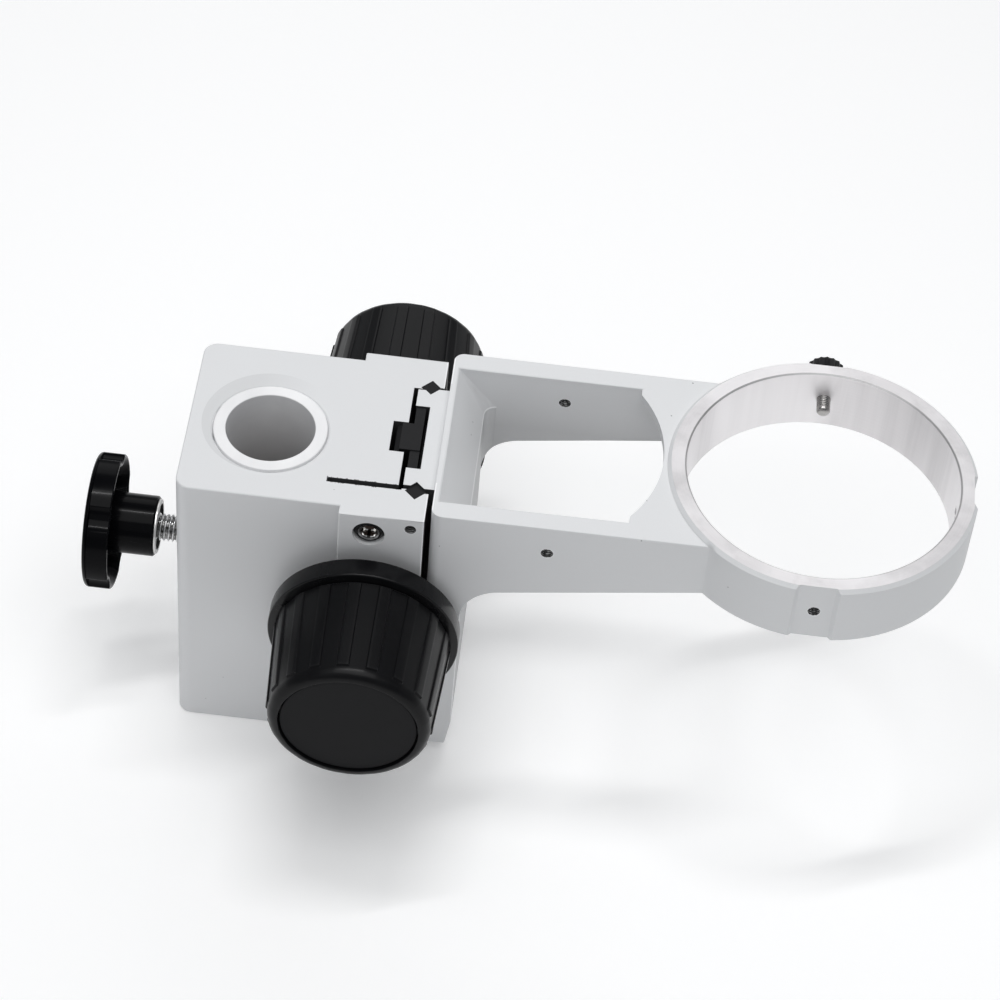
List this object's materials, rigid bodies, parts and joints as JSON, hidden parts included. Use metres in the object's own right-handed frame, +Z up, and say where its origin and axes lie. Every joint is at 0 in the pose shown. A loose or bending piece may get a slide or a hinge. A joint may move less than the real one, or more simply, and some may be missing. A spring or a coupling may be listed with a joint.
{
  "type": "microscope focusing stand",
  "caption": "Column-mounted microscope focusing stand: a dovetail slide driven by rack and pinion, ribbed coaxial knobs, a windowed arm and an open ring for the body.",
  "frame": {"origin": "on the column axis, level with the underside of the housing", "axes": "+Z up along the column, +X from the column towards the ring, +Y along the pinion shaft towards the side with the ring screw"},
  "size_m": [0.2482, 0.1448, 0.1039],
  "materials": {
    "light_paint": "fine powder coat, satin",
    "white_bush": "moulded, satin",
    "black_steel": "black oxide, oiled",
    "bright_steel": "bright machined",
    "bronze": "turned",
    "white_plastic": "plain",
    "black_plastic": "satin moulded",
    "gloss_black": "glossy moulded",
    "brass_tip": "turned"
  },
  "bodies": {
    "housing": {"focus_housing": "light_paint", "reducer_bush": "white_bush", "front_shaft_bush": "bronze", "back_shaft_bush": "bronze", "front_guide_bar": "black_steel", "back_guide_bar": "black_steel", "jaw_screws": "bright_steel", "bar_set_screws": "black_steel", "friction_washers": "white_plastic"},
    "arm": {"arm_casting": "light_paint", "rack": "black_steel", "rack_bar": "black_steel", "rack_screws": "bright_steel"},
    "knob_shaft": {"pinion_shaft": "bright_steel", "front_knob": "black_plastic", "front_knob_collar": "gloss_black", "front_knob_cap": "black_plastic", "back_knob": "black_plastic", "back_knob_collar": "gloss_black", "back_knob_cap": "black_plastic", "knob_screws": "bright_steel"},
    "clamp_tip": {"clamp_pad": "brass_tip"},
    "clamp_screw": {"clamp_stud": "bright_steel", "clamp_insert": "bright_steel", "clamp_knob": "gloss_black"},
    "ring_stud": {"ring_screw_stud": "bright_steel"},
    "ring_head": {"ring_screw_head": "black_steel"}
  },
  "joints": [
    {"name": "focus_slide", "type": "slide", "parent": "housing", "child": "arm", "axis": [0, 0, 1], "range_m": [-0.025, 0.025]},
    {"name": "focus_knobs", "type": "hinge", "parent": "housing", "child": "knob_shaft", "pos_m": [0.0318, 0.0027, 0.0586], "axis": [0, 1, 0], "range_deg": [-400, 400]},
    {"name": "clamp_feed", "type": "slide", "parent": "housing", "child": "clamp_tip", "axis": [-1, 0, 0], "range_m": [-0.0005, 0.006]},
    {"name": "clamp_turn", "type": "hinge", "parent": "clamp_tip", "child": "clamp_screw", "pos_m": [-0.048, 0, 0.0524], "axis": [-1, 0, 0], "range_deg": [-150, 1740]},
    {"name": "ring_screw_slide", "type": "slide", "parent": "arm", "child": "ring_stud", "axis": [0, 1, 0], "range_m": [-0.0027, 0.0056]},
    {"name": "ring_screw_turn", "type": "hinge", "parent": "ring_stud", "child": "ring_head", "pos_m": [0.1536, 0.05, 0.0937], "axis": [0, 1, 0], "range_deg": [-1400, 2890]}
  ],
  "couplings": [
    {"joint": "focus_knobs", "follows": "focus_slide", "rad_per_m": -277.78},
    {"joint": "clamp_turn", "follows": "clamp_feed", "rad_per_m": 5026.5},
    {"joint": "ring_screw_turn", "follows": "ring_screw_slide", "rad_per_m": 8976}
  ]
}
